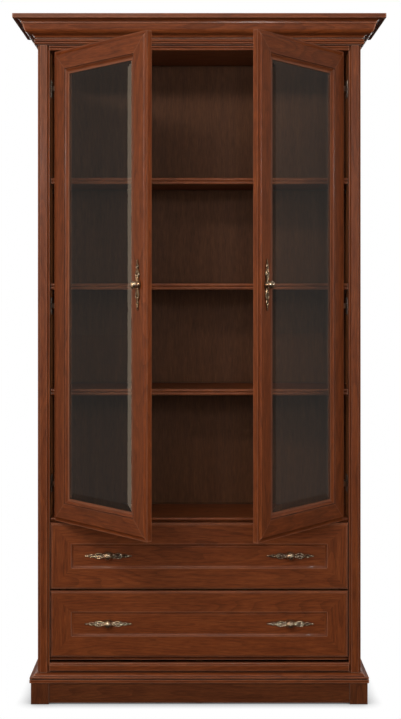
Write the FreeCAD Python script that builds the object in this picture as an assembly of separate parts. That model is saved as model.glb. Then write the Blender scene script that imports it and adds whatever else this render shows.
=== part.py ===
import FreeCAD, Part

import math
import os

from FreeCAD import Vector

# A two-door bookcase with bevelled glass, two drawers below, a cornice and a plinth.
# Millimetres. X runs to the right, Y to the back, Z up. The origin lies on the floor, midway
# between the sides, under the plane of the closed fronts and the corner posts.
# The doors are made closed and then turned about their hinges to the angle at which they rest.

# ---- Case ----
case_width = 980.0             # over the two corner posts
side_depth = 262.0             # side panels, behind the posts
board = 18.0                   # sides, floor and bottom
board_setback = 2.0            # front edges of the boards behind the backs of the closed fronts
post_width = 36.0
post_thickness = 20.0
post_round = 7.0
back_thickness = 4.0
back_rebate = 9.0
back_play = 1.0                # round the back panel in its rebates

# ---- Plinth and base frame, from the floor up ----
plinth_height = 65.0
plinth_lift = 4.0              # boards between the corner blocks stay clear of the floor
plinth_board = 18.0
plinth_projection = 15.0       # in front of the posts and beside the sides
block_width = 54.0
block_projection = 18.0
frame_edge = 17.5              # upright lower edge of the base frame, with a bead at its top
frame_edge_projection = 22.0
frame_bead = 5.0
frame_bead_sag = 1.6
frame_quirk = 2.5               # groove under the bead, as high as deep
frame_ovolo = 7.5
frame_ovolo_foot = 12.0        # projection at the ledge
frame_ovolo_top = 2.0          # projection under the posts
frame_ovolo_sag = 2.0
frame_inner = 20.0             # the frame reaches this far under the case
brace_thickness = 18.0
brace_toe = 2.0                # the brace reaches this far in front of the fronts' plane
brace_shoulder = 60.0          # front of its upper part, behind the fronts' plane

# ---- Fronts and boards, from the base frame up ----
rail_height = 28.0
rail_thickness = 18.0
rail_setback = 1.0
rail_round = 6.0               # upper and lower edge
rail_gap = 5.0                 # between the rail and the bottom board
bottom_overlay = 4.0           # lower drawer front over the bottom board
front_gap = 5.5                # between the drawer fronts
door_gap = 7.5                 # between the upper drawer front and the doors
floor_overlay = 5.0            # doors over the floor board
floor_rebate = 8.0             # under the floor board's front edge: height and depth
floor_rebate_depth = 8.0
top_gap = 4.5                  # between the doors and the top board
top_thickness = 16.0
top_setback = 1.0              # front edge of the top board, between the posts
crown_thickness = 17.0
crown_projection = 9.0
crown_quirk = 2.0              # groove under its edge
crown_quirk_depth = 5.0

# ---- Reeded edges ----
reed_sag = 2.6
crown_reed = 8.2               # height of the upper reed
top_reed = 8.0
shelf_reed = 9.5

# ---- Cornice ----
cornice_foot = 8.8             # projection at the crown board
cornice_height = 65.5
cornice_projection = 67.5
cornice_inner = 8.0            # the foot of the moulding reaches this far inwards
cornice_back = 16.0            # height of the upright at its inner side
cornice_rim = 20.0             # width of the flat top
# Its members from the foot up: how far each comes forward, and how high it is.
foot_quirk_depth = 4.0
foot_quirk = 4.0
foot_cove = 6.9
foot_cove_height = 7.7
foot_cove_sag = 1.2
foot_fillet = 7.8
foot_fillet_height = 0.6
ovolo = 13.9
ovolo_height = 15.2
ovolo_sag = 3.2
slope = 3.4
slope_height = 13.0
list_step = 2.6
list_forward = 0.4
list_height = 6.0
cove_sag = 2.4
lip = 7.5
lip_height = 1.0
fascia_height = 13.0

# ---- Shelves ----
shelf_names = ("lower", "middle", "upper")
shelf_thickness = 19.0
shelf_setback = 5.0            # behind the backs of the closed doors
shelf_rise = 392.0             # top of the lowest shelf above the floor board
shelf_pitch = 322.0
shelf_play = 1.0
support_front = 85.0           # front supports, behind the front edge of the side panel
support_rear = 32.0            # rear supports, in front of the back panel
support_width = 12.0
support_height = 14.0
support_reach = 9.0
support_wall = 1.5

# ---- Doors ----
door_height = 1421.0
door_thickness = 20.0
side_gap = 2.5                 # beside fronts, to the posts
centre_gap = 3.0               # between the two doors
door_round_width = 13.0        # wide rounding of the outer edge
door_round_depth = 4.5
door_round_sag = 1.9
frame_flat = 57.0
frame_moulding = 17.0
bead_width = 3.5
bead_quirk = 1.4
moulding_depth = 7.0
moulding_sag = 1.9
sight_edge = 2.0
glass_rebate = 10.0
glass_thickness = 4.0
glass_play = 1.0
glass_edge = 2.0               # thickness left at the bevelled edge
glass_facet = 28.0
glass_seat = 0.2               # between the facet and the frame's lip
bead_back = 18.0               # back of the glazing beads, from the front face
bead_joint = 0.3               # between two glazing beads
left_rest = 49.0               # angle at which the left door stands, degrees
right_rest = 52.0              # the right door's angle, degrees

# ---- Hinges, measured from a closed door's hinge edge and front face ----
pivot_in = 8.0
pivot_front = 8.0
hinge_inset = 106.0            # outer hinges from the door's foot and top
hinge_middle = 650.0           # above the door's foot
cup_inset = 22.0
cup_radius = 17.5
cup_fit = 0.1
cup_depth = 11.5
cup_wall = 1.2
pocket_half_width = 14.1       # of the hollow in the cup
pocket_half_height = 8.5
flange_length = 52.0
flange_width = 28.0
flange_thickness = 1.0
nose_in = 30.0                 # pivot nose of the arm, inside the cup of a closed door
nose_back = 15.0
nose_radius = 2.2
nose_chamfer = 1.1
link_root_in = 24.5            # where the link stands on the floor of the cup
link_root_back = 14.0
link_half_width = 2.0
link_half_height = 3.5
fork_gap = 1.0                 # each side of the link in the arm's fork
fork_cheek = 3.0
fork_reach = 35.0              # the fork is open to this radius round the hinge axis
plate_line = 37.0              # middle of the mounting plate behind the strip's front edge
plate_depth = 36.0
plate_length = 52.0
plate_thickness = 2.0
arm_depth = 12.0
arm_length = 40.0
strip_depth = 60.0

# ---- Drawers ----
drawer_names = ("lower", "upper")
drawer_front_height = 200.5
drawer_front_thickness = 20.0
drawer_round = 7.0
field_border = 64.0            # plain border round the sunk field
field_step = 1.2
field_slope = 7.5
field_depth = 4.5
box_wall = 12.0
box_height = 150.0
box_lift = 15.0                # above the front's foot
box_length = 245.0
bottom_thickness = 4.0
bottom_lift = 10.0
groove_depth = 6.0
groove_play = 0.25

# ---- Drawer runners ----
runner_space = 12.7            # between the packer and the drawer side
runner_length = 250.0
runner_front = 4.0             # behind the packer's front edge
runner_height = 27.0
runner_lift = 50.0             # middle of the runner above the box's foot
runner_wall = 1.2
runner_reach = 9.5             # of the case member from the packer
slider_height = 18.0
slider_reach = 7.5
slider_length = 236.0

# ---- Handles ----
plate_half_length = 71.0
plate_half_height = 12.0
handle_plate_thickness = 2.4
spine_half = 3.0
leaf_start = 10.0
leaf_end = 44.0
leaf_half_height = 9.5
leaf_opening_start = 16.0
leaf_opening_end = 36.0
leaf_opening_height = 4.2
leaf_opening_half = 1.8
tail_start = 41.0
tail_half_height = 6.5
knob_foot_radius = 7.5
knob_foot = 2.5                # lengths of the knob from the backplate
knob_neck_radius = 4.0
knob_neck_end = 9.0
knob_rim_start = 14.5
knob_radius = 10.5
knob_rim_end = 17.5
knob_crown_radius = 6.5
knob_length = 22.0
knob_flats = 12
drawer_handle_inset = 104.0    # from the end of the flat field
door_handle_z = 714.0          # above the door's foot

# ---- Places that follow from the sizes ----
half_case = case_width / 2
side_inner = half_case - board
opening_half = half_case - post_width
front_plane = post_thickness
case_back = post_thickness + side_depth
panel_front = case_back - back_thickness
board_front = front_plane + board_setback

case_foot = plinth_height + frame_edge + frame_ovolo
rail_top = case_foot + rail_height
bottom_board_z = rail_top + rail_gap
drawer_pitch = drawer_front_height + front_gap
lower_front_z = bottom_board_z + board - bottom_overlay
door_z = lower_front_z + len(drawer_names) * drawer_pitch - front_gap + door_gap
door_top = door_z + door_height
floor_board_z = door_z + floor_overlay - board
top_board_z = door_top + top_gap
case_top = top_board_z + top_thickness
crown_top = case_top + crown_thickness
cornice_top = crown_top + cornice_height

front_half = opening_half - side_gap
door_width = front_half - centre_gap / 2
frame_width = frame_flat + frame_moulding
strip_back = front_plane + strip_depth
reach = 2 * cornice_projection          # beyond every moulding, for mitre cuts

parts = {}


# ---- Helpers ----
def wire(points, place):
    """A closed wire through plane points (a, b). A third value is the sag of the arc that ends there."""
    edges = []
    for start, end in zip([points[-1]] + points[:-1], points):
        a = place(start[0], start[1])
        b = place(end[0], end[1])
        if len(end) == 2:
            edges.append(Part.LineSegment(a, b).toShape())
            continue
        along = (end[0] - start[0], end[1] - start[1])
        length = math.hypot(along[0], along[1])
        middle_a = (start[0] + end[0]) / 2 - along[1] / length * end[2]
        middle_b = (start[1] + end[1]) / 2 + along[0] / length * end[2]
        edges.append(Part.Arc(a, place(middle_a, middle_b), b).toShape())
    return Part.Wire(edges)


def prism(points, place, travel):
    return Part.Face(wire(points, place)).extrude(travel)


def run_x(points, x0, x1):
    """A (y, z) section carried along X."""
    return prism(points, lambda y, z: Vector(x0, y, z), Vector(x1 - x0, 0, 0))


def run_y(points, y0, y1):
    """An (x, z) section carried along Y."""
    return prism(points, lambda x, z: Vector(x, y0, z), Vector(0, y1 - y0, 0))


def run_z(points, z0, z1):
    """An (x, y) section carried along Z."""
    return prism(points, lambda x, y: Vector(x, y, z0), Vector(0, 0, z1 - z0))


def block(x0, x1, y0, y1, z0, z1):
    return Part.makeBox(x1 - x0, y1 - y0, z1 - z0, Vector(x0, y0, z0))


def mirrored(shape):
    return shape.mirror(Vector(0, 0, 0), Vector(1, 0, 0))


def moved(shape, x, y, z):
    copy = shape.copy()
    copy.translate(Vector(x, y, z))
    return copy


def turned(shape, centre, angle):
    """A copy turned about a vertical line through centre."""
    copy = shape.copy()
    copy.rotate(centre, Vector(0, 0, 1), angle)
    return copy


def keep(name, *shapes):
    """Files one node: one solid, or a group of separate ones."""
    solids = [solid for shape in shapes for solid in shape.Solids]
    parts[name] = solids[0] if len(solids) == 1 else Part.makeCompound(solids)


# ---- Mouldings that go round the front and both sides ----
def mitred_front(section, inner):
    """A (projection, z) section along the front, mitred at both ends."""
    run = prism(section, lambda p, z: Vector(-half_case - reach, -p, z), Vector(2 * (half_case + reach), 0, 0))
    wedge = [
        (-half_case - reach, -reach), (half_case + reach, -reach),
        (half_case - inner, inner), (inner - half_case, inner),
    ]
    return run.common(run_z(wedge, 0, cornice_top))


def mitred_left(section, inner):
    """The same section along the left side, mitred in front and square at the back."""
    run = prism(section, lambda p, z: Vector(-half_case - p, -reach, z), Vector(0, case_back + reach, 0))
    wedge = [
        (-half_case - reach, -reach), (inner - half_case, inner),
        (inner - half_case, case_back), (-half_case - reach, case_back),
    ]
    return run.common(run_z(wedge, 0, cornice_top))


def keep_three_sides(name, section, inner):
    left = mitred_left(section, inner)
    keep(name + "_front", mitred_front(section, inner))
    keep(name + "_left", left)
    keep(name + "_right", mirrored(left))


def build_cornice():
    section = [
        (-cornice_inner, crown_top),
        (cornice_foot - foot_quirk_depth, crown_top),
        (cornice_foot - foot_quirk_depth, crown_top + foot_quirk),
        (cornice_foot, crown_top + foot_quirk),
    ]
    members = (
        (foot_cove, foot_cove_height, foot_cove_sag), (foot_fillet, foot_fillet_height),
        (ovolo, ovolo_height, -ovolo_sag), (slope, slope_height), (list_step, 0), (list_forward, list_height),
    )
    for forward, height, *sag in members:
        start = section[-1]
        section.append((start[0] + forward, start[1] + height, *sag))
    section += [
        (cornice_projection - lip, cornice_top - fascia_height - lip_height, cove_sag),
        (cornice_projection, cornice_top - fascia_height),
        (cornice_projection, cornice_top),
        (cornice_projection - cornice_rim, cornice_top),
        (-cornice_inner, crown_top + cornice_back),
    ]
    keep_three_sides("cornice", section, cornice_inner)


def build_base_frame():
    top = plinth_height + frame_edge
    quirk_top = top - frame_bead
    line = frame_edge_projection - frame_bead_sag
    section = [
        (-frame_inner, plinth_height),
        (frame_edge_projection, plinth_height),
        (frame_edge_projection, quirk_top - frame_quirk),
        (line - frame_quirk, quirk_top - frame_quirk),
        (line - frame_quirk, quirk_top),
        (line, quirk_top),
        (line, top, -frame_bead_sag),
        (frame_ovolo_foot, top),
        (frame_ovolo_top, case_foot, -frame_ovolo_sag),
        (-frame_inner, case_foot),
    ]
    keep_three_sides("base_frame", section, frame_inner)


# ---- Boards with reeded edges ----
def reeded_board(half_width, front, back, z, thickness, upper):
    """A board along X whose front edge has two reeds, the upper one of the given height."""
    groove = z + thickness - upper
    line = front + reed_sag
    section = [
        (back, z + thickness), (back, z), (line, z), (line, groove, reed_sag), (line, z + thickness, reed_sag),
    ]
    return run_x(section, -half_width, half_width)


def build_crown_board():
    """Reeded in front and at both ends, with a groove under the reeds."""
    foot = case_top + crown_quirk
    groove = crown_top - crown_reed
    line = reed_sag - crown_projection
    inner = line + crown_quirk_depth
    front = [
        (case_back, crown_top), (case_back, case_top), (inner, case_top), (inner, foot),
        (line, foot), (line, groove, reed_sag), (line, crown_top, reed_sag),
    ]
    end = half_case - line
    under = half_case - inner
    across = [
        (-under, case_top), (under, case_top), (under, foot), (end, foot),
        (end, groove, -reed_sag), (end, crown_top, -reed_sag), (-end, crown_top),
        (-end, groove, -reed_sag), (-end, foot, -reed_sag), (-under, foot),
    ]
    along = run_x(front, -half_case - crown_projection, half_case + crown_projection)
    keep("crown_board", along.common(run_y(across, -crown_projection, case_back)))


def build_boards():
    top = reeded_board(side_inner, top_setback, panel_front, top_board_z, top_thickness, top_reed)
    between_posts = [
        (-opening_half, 0), (opening_half, 0), (opening_half, front_plane), (side_inner, front_plane),
        (side_inner, panel_front), (-side_inner, panel_front), (-side_inner, front_plane), (-opening_half, front_plane),
    ]
    keep("top_board", top.common(run_z(between_posts, top_board_z, case_top)))
    nose = board_front + reed_sag
    shoulder = floor_board_z + floor_rebate
    floor = [
        (panel_front, floor_board_z + board), (panel_front, floor_board_z),
        (nose + floor_rebate_depth, floor_board_z), (nose + floor_rebate_depth, shoulder), (nose, shoulder),
        (nose, floor_board_z + board, reed_sag),
    ]
    keep("floor_board", run_x(floor, -side_inner, side_inner))
    keep("bottom_board", block(
        -side_inner, side_inner, board_front, panel_front, bottom_board_z, bottom_board_z + board))


# ---- Case ----
def build_sides():
    rebate = side_inner + back_rebate
    section = [
        (side_inner, front_plane), (half_case, front_plane), (half_case, case_back),
        (rebate, case_back), (rebate, panel_front), (side_inner, panel_front),
    ]
    right = run_z(section, case_foot, case_top)
    keep("side_panel_right", right)
    keep("side_panel_left", mirrored(right))

    sag = post_round * (1 - math.sqrt(0.5))
    corner = [
        (opening_half, post_round), (opening_half + post_round, 0, sag),
        (half_case - post_round, 0), (half_case, post_round, sag),
        (half_case, front_plane), (opening_half, front_plane),
    ]
    right = run_z(corner, case_foot, case_top)
    keep("post_right", right)
    keep("post_left", mirrored(right))


def build_packers():
    floor_top = floor_board_z + board
    strip = block(opening_half, side_inner, front_plane, strip_back, floor_top, top_board_z)
    lining = block(opening_half, side_inner, front_plane, panel_front, bottom_board_z + board, floor_board_z)
    keep("packers", strip, lining, mirrored(strip), mirrored(lining))


def build_back():
    half = side_inner + back_rebate - back_play
    keep("back_panel", block(-half, half, panel_front, case_back, bottom_board_z, case_top))


def build_rail():
    sag = rail_round * (1 - math.sqrt(0.5))
    back = rail_setback + rail_thickness
    section = [
        (back, case_foot), (back, rail_top), (rail_setback + rail_round, rail_top),
        (rail_setback, rail_top - rail_round, sag), (rail_setback, case_foot + rail_round),
        (rail_setback + rail_round, case_foot, sag),
    ]
    keep("bottom_rail", run_x(section, -opening_half, opening_half))


def build_plinth():
    front = -plinth_projection
    front_back = front + plinth_board
    block_back = block_width - block_projection
    outer = half_case + plinth_projection
    keep("plinth_front", block(-opening_half, opening_half, front, front_back, plinth_lift, plinth_height))
    side = block(outer - plinth_board, outer, block_back, case_back, plinth_lift, plinth_height)
    keep("plinth_right", side)
    keep("plinth_left", mirrored(side))
    corner = block(opening_half, opening_half + block_width, -block_projection, block_back, 0, plinth_height)
    keep("plinth_block_right", corner)
    keep("plinth_block_left", mirrored(corner))

    rear_front = case_back - plinth_board
    foot = outer - plinth_board
    shoulder = half_case - frame_inner
    rear = [
        (-foot, 0), (foot, 0), (foot, plinth_height), (shoulder, plinth_height),
        (shoulder, bottom_board_z), (-shoulder, bottom_board_z), (-shoulder, plinth_height), (-foot, plinth_height),
    ]
    keep("plinth_rear", run_y(rear, rear_front, case_back))

    brace = [
        (-brace_toe, 0), (rear_front, 0), (rear_front, bottom_board_z), (brace_shoulder, bottom_board_z),
        (brace_shoulder, plinth_height), (front_back, plinth_height), (front_back, plinth_lift),
        (-brace_toe, plinth_lift),
    ]
    keep("plinth_cross_brace", run_x(brace, -brace_thickness / 2, brace_thickness / 2))


# ---- Shelves ----
def shelf_tops():
    lowest = floor_board_z + board + shelf_rise
    return [lowest + step * shelf_pitch for step in range(len(shelf_names))]


def build_shelves():
    front = front_plane + shelf_setback
    back = panel_front - shelf_play
    half = side_inner - shelf_play
    notch_half = opening_half - shelf_play
    notch_back = strip_back + shelf_play
    outline = [
        (-notch_half, front), (notch_half, front), (notch_half, notch_back), (half, notch_back),
        (half, back), (-half, back), (-half, notch_back), (-notch_half, notch_back),
    ]
    for name, top in zip(shelf_names, shelf_tops()):
        z = top - shelf_thickness
        edged = reeded_board(half, front, back, z, shelf_thickness, shelf_reed)
        keep("shelf_" + name, edged.common(run_z(outline, z, top)))

    supports = []
    for y in (front_plane + support_front, panel_front - support_rear):
        for top in shelf_tops():
            z = top - shelf_thickness
            angle = [
                (side_inner, z), (side_inner, z - support_height), (side_inner - support_wall, z - support_height),
                (side_inner - support_wall, z - support_wall), (side_inner - support_reach, z - support_wall),
                (side_inner - support_reach, z),
            ]
            support = run_y(angle, y, y + support_width)
            supports += [support, mirrored(support)]
    keep("shelf_supports", *supports)


# ---- Doors: made closed on the left, mirrored for the right, then turned open ----
def door_section():
    """Across a frame member: distance in from the outer edge, depth from the front face."""
    bead_end = frame_flat + bead_width
    return [
        (0, door_thickness),
        (0, door_round_depth),
        (door_round_width, 0, door_round_sag),
        (frame_flat, 0),
        (frame_flat, bead_quirk),
        (bead_end, bead_quirk, bead_quirk),
        (frame_width, moulding_depth, moulding_sag),
        (frame_width, moulding_depth + sight_edge),
        (frame_width - glass_rebate, moulding_depth + sight_edge),
        (frame_width - glass_rebate, door_thickness),
    ]


def hinge_heights():
    return (door_z + hinge_inset, door_z + hinge_middle, door_top - hinge_inset)


def build_door_frame(hinge_edge):
    """Two stiles and two rails with mitred corners, and bores for the hinge cups."""
    free_edge = hinge_edge + door_width
    w = frame_width
    section = door_section()
    stile_cut = [(0, door_z), (w, door_z + w), (w, door_top - w), (0, door_top)]

    def stile(edge, way):
        run = prism(section, lambda u, d: Vector(edge + way * u, d, door_z), Vector(0, 0, door_height))
        return run.common(run_y([(edge + way * u, z) for u, z in stile_cut], 0, door_thickness))

    def rail(edge, way):
        run = prism(section, lambda u, d: Vector(hinge_edge, d, edge + way * u), Vector(door_width, 0, 0))
        mitre = [(hinge_edge, edge), (free_edge, edge), (free_edge - w, edge + way * w), (hinge_edge + w, edge + way * w)]
        return run.common(run_y(mitre, 0, door_thickness))

    hinge_stile = stile(hinge_edge, 1)
    for z in hinge_heights():
        foot = Vector(hinge_edge + cup_inset, door_thickness - cup_depth - cup_fit, z)
        hinge_stile = hinge_stile.cut(Part.makeCylinder(cup_radius + cup_fit, door_thickness, foot, Vector(0, 1, 0)))
    return {
        "stile_hinge": hinge_stile,
        "stile_free": stile(free_edge, -1),
        "rail_top": rail(door_top, -1),
        "rail_bottom": rail(door_z, 1),
    }


def build_glass(hinge_edge):
    """A pane with a wide bevel round its front, and the beads that hold it from behind."""
    inset = frame_width - glass_rebate
    facet_drop = glass_thickness - glass_edge
    lip_share = (glass_facet - (frame_width - inset - glass_play)) / glass_facet
    front = moulding_depth + sight_edge + glass_seat - facet_drop * lip_share
    back = front + glass_thickness
    edge = front + facet_drop

    def loop(margin, depth):
        x0 = hinge_edge + inset + margin
        x1 = hinge_edge + door_width - inset - margin
        z0 = door_z + inset + margin
        z1 = door_top - inset - margin
        return Part.makePolygon([Vector(x, depth, z) for x, z in ((x0, z0), (x1, z0), (x1, z1), (x0, z1), (x0, z0))])

    slab = Part.Face(loop(glass_play, edge)).extrude(Vector(0, back - edge, 0))
    facets = Part.makeLoft([loop(glass_play, edge), loop(glass_play + glass_facet, front)], True, True)
    glass = slab.fuse(facets).removeSplitter()

    x0 = hinge_edge + inset
    x1 = hinge_edge + door_width - inset
    z0 = door_z + inset
    z1 = door_top - inset
    r = glass_rebate
    beads = [
        block(x0, x0 + r, back, bead_back, z0, z1),
        block(x1 - r, x1, back, bead_back, z0, z1),
        block(x0 + r + bead_joint, x1 - r - bead_joint, back, bead_back, z0, z0 + r),
        block(x0 + r + bead_joint, x1 - r - bead_joint, back, bead_back, z1 - r, z1),
    ]
    return {"glass": glass, "glazing_beads": Part.makeCompound(beads)}


def hinge_cup(rest):
    """A cup with its flange and link, at height 0, measured from the hinge edge and front face."""
    floor = door_thickness - cup_depth
    rim = door_thickness + flange_thickness
    across = flange_width / 2
    cup = Part.makeCylinder(cup_radius, cup_depth, Vector(cup_inset, floor, 0), Vector(0, 1, 0))
    flange = block(
        cup_inset - across, cup_inset + across, door_thickness, rim, -flange_length / 2, flange_length / 2)
    pocket = block(
        cup_inset - pocket_half_width, cup_inset + pocket_half_width, floor + cup_wall, rim,
        -pocket_half_height, pocket_half_height)
    cup = cup.fuse(flange).cut(pocket)

    tip_in, tip_back = nose_from_door(rest)
    run = math.hypot(tip_in - link_root_in, tip_back - link_root_back)
    side_in = (tip_back - link_root_back) / run * link_half_width
    side_back = (link_root_in - tip_in) / run * link_half_width
    bar = [
        (link_root_in + side_in, link_root_back + side_back),
        (tip_in + side_in, tip_back + side_back),
        (tip_in - side_in, tip_back - side_back, link_half_width),
        (link_root_in - side_in, link_root_back - side_back),
    ]
    bar = prism(bar, lambda a, b: Vector(a, b, -link_half_height), Vector(0, 0, 2 * link_half_height))
    foot = block(
        link_root_in - link_half_width, link_root_in + link_half_width, floor + cup_wall, link_root_back,
        -link_half_height, link_half_height)
    return cup.fuse([bar, foot]).removeSplitter()


def nose_from_door(rest):
    """The arm's nose as seen from a door that stands open at the given angle."""
    angle = math.radians(rest)
    a = nose_in - pivot_in
    b = nose_back + pivot_front
    turned_in = a * math.cos(angle) - b * math.sin(angle)
    turned_back = a * math.sin(angle) + b * math.cos(angle)
    return pivot_in + turned_in, turned_back - pivot_front


def hinge_arm():
    """A mounting plate and forked arm, at height 0, measured from the hinge edge and front face."""
    foot = -side_gap
    base = foot + plate_thickness
    middle = front_plane + plate_line
    plate = block(
        foot, base, middle - plate_depth / 2, middle + plate_depth / 2, -plate_length / 2, plate_length / 2)

    half = link_half_height + fork_gap + fork_cheek
    arm_front = middle - arm_length / 2
    arm_back = middle + arm_length / 2
    knee = nose_back + 4 * link_half_height
    nose_end = nose_back - nose_radius
    outline = [
        (base, arm_back),
        (base, arm_front),
        (nose_in - nose_radius, knee - arm_depth / 3),
        (nose_in - nose_radius, nose_end + nose_chamfer),
        (nose_in - nose_radius + nose_chamfer, nose_end),
        (nose_in + nose_radius - nose_chamfer, nose_end),
        (nose_in + nose_radius, nose_end + nose_chamfer),
        (nose_in + nose_radius, knee),
        (base + arm_depth, arm_front + arm_depth),
        (base + arm_depth, arm_back),
    ]
    arm = prism(outline, lambda a, b: Vector(a, b, -half), Vector(0, 0, 2 * half))
    slot_half = link_half_height + fork_gap
    slot = Part.makeCylinder(
        fork_reach, 2 * slot_half, Vector(pivot_in, -pivot_front, -slot_half), Vector(0, 0, 1))
    return plate.fuse(arm.cut(slot)).removeSplitter()


def build_doors():
    hinge_edge = -front_half
    pieces = build_door_frame(hinge_edge)
    pieces.update(build_glass(hinge_edge))
    handle_x = hinge_edge + door_width - frame_width / 2
    plate, knob = handle(True)
    pieces["handle_plate"] = moved(plate, handle_x, 0, door_z + door_handle_z)
    pieces["handle_knob"] = moved(knob, handle_x, 0, door_z + door_handle_z)

    axis = Vector(hinge_edge + pivot_in, -pivot_front, 0)
    for side, rest in (("left", left_rest), ("right", right_rest)):
        cup = hinge_cup(rest)
        cups = [moved(cup, hinge_edge, 0, z) for z in hinge_heights()]
        pieces["hinge_cups"] = Part.makeCompound(cups)
        for name, piece in pieces.items():
            opened = turned(piece, axis, -rest)
            keep(side + "_door_" + name, opened if side == "left" else mirrored(opened))

    arm = hinge_arm()
    arms = [moved(arm, hinge_edge, 0, z) for z in hinge_heights()]
    keep("hinge_arms", *arms, *[mirrored(arm) for arm in arms])


# ---- Handles ----
def lens(start, end, half_height, middle=0.0):
    """A leaf shape between two arcs, as points: length along a, height along b."""
    return [(start, middle, half_height), (end, middle, half_height)]


def handle(upright):
    """Backplate and knob on a front face at the origin, lying along X or standing up."""
    def place(a, b):
        return Vector(b, 0, a) if upright else Vector(a, 0, b)

    outwards = Vector(0, -1, 0)
    thickness = outwards * handle_plate_thickness

    def slab(points):
        return prism(points, place, thickness)

    plate = Part.makeCylinder(plate_half_height, handle_plate_thickness, Vector(0, 0, 0), outwards)
    spine = [(-leaf_end, -spine_half), (leaf_end, -spine_half), (leaf_end, spine_half), (-leaf_end, spine_half)]
    plate = plate.fuse(slab(spine))
    for way in (-1, 1):
        plate = plate.fuse(slab(lens(way * leaf_start, way * leaf_end, leaf_half_height)))
        plate = plate.fuse(slab(lens(way * tail_start, way * plate_half_length, tail_half_height)))
    for way in (-1, 1):
        for height in (-leaf_opening_height, leaf_opening_height):
            opening = lens(way * leaf_opening_start, way * leaf_opening_end, leaf_opening_half, height)
            plate = plate.cut(slab(opening))

    rings = [
        (knob_foot_radius, 0), (knob_neck_radius, knob_foot), (knob_neck_radius, knob_neck_end),
        (knob_radius, knob_rim_start), (knob_radius, knob_rim_end), (knob_crown_radius, knob_length),
    ]
    return plate.removeSplitter(), turned_with_flats(rings, -handle_plate_thickness)


def turned_with_flats(rings, foot):
    """A round form along -Y from its (radius, length) rings. Its flats keep the mesh of a small part light."""
    def ring(radius, length):
        angles = [2 * math.pi * step / knob_flats for step in range(knob_flats + 1)]
        return [Vector(radius * math.cos(angle), foot - length, radius * math.sin(angle)) for angle in angles]

    loops = [ring(radius, length) for radius, length in rings]
    faces = [Part.Face(Part.makePolygon(loop)) for loop in (loops[0], loops[-1])]
    for near, far in zip(loops, loops[1:]):
        for step in range(knob_flats):
            corners = [near[step], near[step + 1], far[step + 1], far[step], near[step]]
            faces.append(Part.Face(Part.makePolygon(corners)))
    return Part.Solid(Part.Shell(faces))


# ---- Drawers ----
def sunk_field(z):
    """The recess of a drawer front: a small step, then a slope to the flat field."""
    half = front_half - field_border
    low = z + field_border
    high = z + drawer_front_height - field_border

    def loop(margin, depth):
        corners = ((margin - half, low + margin), (half - margin, low + margin),
                   (half - margin, high - margin), (margin - half, high - margin), (margin - half, low + margin))
        return Part.makePolygon([Vector(x, depth, b) for x, b in corners])

    step = Part.Face(loop(0, 0)).extrude(Vector(0, field_step, 0))
    slope = Part.makeLoft([loop(0, field_step), loop(field_slope, field_depth)], True, True)
    return step.fuse(slope)


def build_drawer(name, z):
    top = z + drawer_front_height
    back = drawer_front_thickness
    front = block(-front_half, front_half, 0, back, z, top)
    front = front.makeFillet(drawer_round, [edge for edge in front.Edges if edge.BoundBox.YMax < drawer_round])
    front = front.cut(sunk_field(z))

    foot = z + box_lift
    half = opening_half - runner_space
    inner = half - box_wall
    box_back = back + box_length
    groove_foot = foot + bottom_lift
    groove_half = inner + groove_depth
    groove = block(
        -groove_half, groove_half, back - groove_depth, box_back - box_wall + groove_depth,
        groove_foot, groove_foot + bottom_thickness + groove_play)
    walls = [
        (-half, back), (-inner, back), (-inner, box_back - box_wall), (inner, box_back - box_wall),
        (inner, back), (half, back), (half, box_back), (-half, box_back),
    ]
    box = run_z(walls, foot, foot + box_height)
    play = 2 * groove_play
    bottom = block(
        play - groove_half, groove_half - play, back - groove_depth + play,
        box_back - box_wall + groove_depth - play, groove_foot, groove_foot + bottom_thickness)
    keep(name + "_drawer_front", front.cut(groove))
    keep(name + "_drawer_box", box.cut(groove))
    keep(name + "_drawer_bottom", bottom)

    middle = foot + runner_lift
    low = middle - slider_height / 2
    high = middle + slider_height / 2
    channel = [
        (half, low), (half + slider_reach, low), (half + slider_reach, low + runner_wall),
        (half + runner_wall, low + runner_wall), (half + runner_wall, high - runner_wall),
        (half + slider_reach, high - runner_wall), (half + slider_reach, high), (half, high),
    ]
    slider = run_y(channel, back, back + slider_length)
    keep(name + "_drawer_runners", slider, mirrored(slider))

    plate, knob = handle(False)
    x = front_half - field_border - field_slope - drawer_handle_inset
    places = [(-x, z + drawer_front_height / 2), (x, z + drawer_front_height / 2)]
    sunk = field_depth
    keep(name + "_drawer_handle_plates", *[moved(plate, x, sunk, height) for x, height in places])
    keep(name + "_drawer_handle_knobs", *[moved(knob, x, sunk, height) for x, height in places])
    return case_runner(middle)


def case_runner(middle):
    """The right-hand case member: a channel open towards the drawer."""
    low = middle - runner_height / 2
    high = middle + runner_height / 2
    outer = opening_half
    section = [
        (outer, low), (outer, high), (outer - runner_reach, high), (outer - runner_reach, high - runner_wall),
        (outer - runner_wall, high - runner_wall), (outer - runner_wall, low + runner_wall),
        (outer - runner_reach, low + runner_wall), (outer - runner_reach, low),
    ]
    start = front_plane + runner_front
    return run_y(section, start, start + runner_length)


def build_drawers():
    rails = [build_drawer(name, lower_front_z + step * drawer_pitch) for step, name in enumerate(drawer_names)]
    keep("runner_rails", *rails, *[mirrored(rail) for rail in rails])


build_cornice()
build_base_frame()
build_boards()
build_crown_board()
build_sides()
build_packers()
build_back()
build_rail()
build_plinth()
build_shelves()
build_doors()
build_drawers()

os.makedirs("parts", exist_ok=True)
for name, shape in parts.items():
    shape.exportStep("parts/" + name + ".step")
print(len(parts), "nodes,", sum(len(shape.Solids) for shape in parts.values()), "solids")
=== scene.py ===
import math

import bmesh
import bpy
from mathutils import Matrix, Vector


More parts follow.
